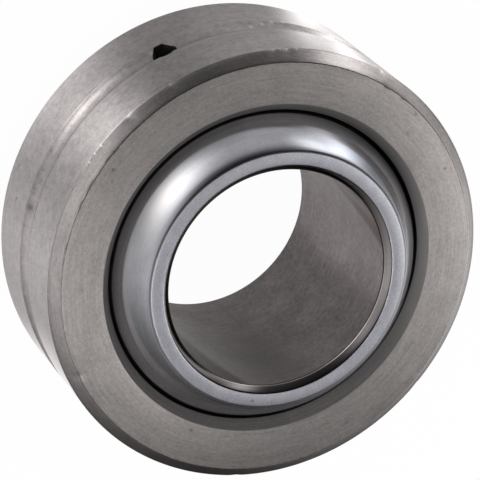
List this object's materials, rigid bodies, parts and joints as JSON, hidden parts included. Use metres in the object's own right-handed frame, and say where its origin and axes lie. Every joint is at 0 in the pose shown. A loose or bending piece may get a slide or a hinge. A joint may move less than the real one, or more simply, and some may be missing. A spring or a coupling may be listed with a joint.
{
  "type": "spherical plain bearing",
  "caption": "Metal-to-metal spherical plain bearing: a steel outer ring with an oil groove and hole, and a polished ball with a through bore.",
  "frame": {"origin": "centre of the sphere, on the axis of the bore at mid width", "axes": "+Z along the axis of the bore; the oil hole points along -Y"},
  "size_m": [0.0254, 0.0254, 0.0132],
  "materials": {
    "ground_steel": "turned and ground, fine matt",
    "polished_chrome": "polished sphere, satin end faces, ground bore"
  },
  "bodies": {
    "outer_race": {"outer_race": "ground_steel"},
    "ball": {"ball": "polished_chrome"}
  },
  "joints": [
    {"name": "ball_swivel", "type": "hinge", "parent": "outer_race", "child": "ball", "pos_m": [0, 0, 0], "axis": [1, 0, 0], "range_deg": [-11, 11]}
  ]
}
